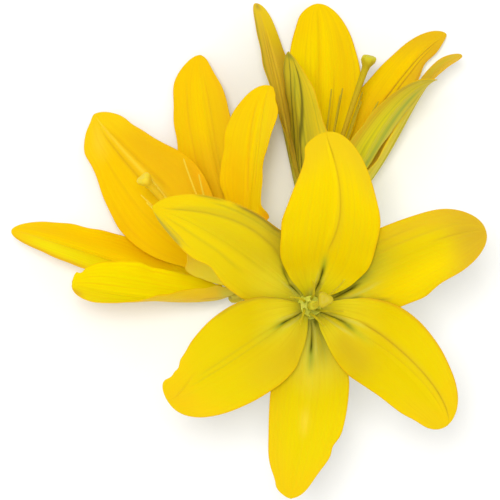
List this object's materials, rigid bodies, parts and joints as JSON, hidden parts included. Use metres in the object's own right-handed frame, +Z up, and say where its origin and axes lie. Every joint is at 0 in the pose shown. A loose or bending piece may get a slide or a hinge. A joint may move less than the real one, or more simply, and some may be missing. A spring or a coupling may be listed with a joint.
{
  "type": "cut lily flower head",
  "caption": "Cut head of open yellow lily blooms with curved tepals, filaments and pistils on a short branched stem, lying on a flat surface.",
  "frame": {"origin": "middle of the footprint on the surface that the head lies on", "axes": "+Z up from the surface, towards the viewer who looks down on the front bloom; +Y up the plan view, towards the bloom that points away; +X to the right of the plan view"},
  "size_m": [0.1956, 0.2052, 0.1343],
  "materials": {
    "front_petal": "satin lemon-yellow petal with fine lengthwise veins, greener in the throat",
    "left_petal": "satin warm yellow petal with fine lengthwise veins, orange in the folds",
    "top_petal": "satin golden-yellow petal with green keels outside",
    "filament": "smooth waxy yellow",
    "pistil": "waxy yellow-green, with a damp stigma",
    "stem": "smooth green stem skin with a pale cut end"
  },
  "bodies": {
    "root": {"front_bloom_inner_tepal_top": "front_petal", "front_bloom_outer_tepal_left": "front_petal", "front_bloom_inner_tepal_lower_left": "front_petal", "front_bloom_outer_tepal_bottom": "front_petal", "front_bloom_inner_tepal_lower_right": "front_petal", "front_bloom_outer_tepal_right": "front_petal", "front_bloom_stamens": "filament", "front_bloom_pistil": "pistil", "left_bloom_inner_tepal_right": "left_petal", "left_bloom_outer_tepal_upper": "left_petal", "left_bloom_inner_tepal_back": "left_petal", "left_bloom_outer_tepal_far_left": "left_petal", "left_bloom_inner_tepal_lower_left": "left_petal", "left_bloom_outer_tepal_near": "left_petal", "left_bloom_stamens": "filament", "left_bloom_pistil": "pistil", "top_bloom_inner_tepal_near_left": "top_petal", "top_bloom_outer_tepal_near_right": "top_petal", "top_bloom_inner_tepal_right": "top_petal", "top_bloom_outer_tepal_back_right": "top_petal", "top_bloom_inner_tepal_back_left": "top_petal", "top_bloom_outer_tepal_far_left": "top_petal", "top_bloom_stamens": "filament", "top_bloom_pistil": "pistil", "stem": "stem"}
  },
  "joints": []
}
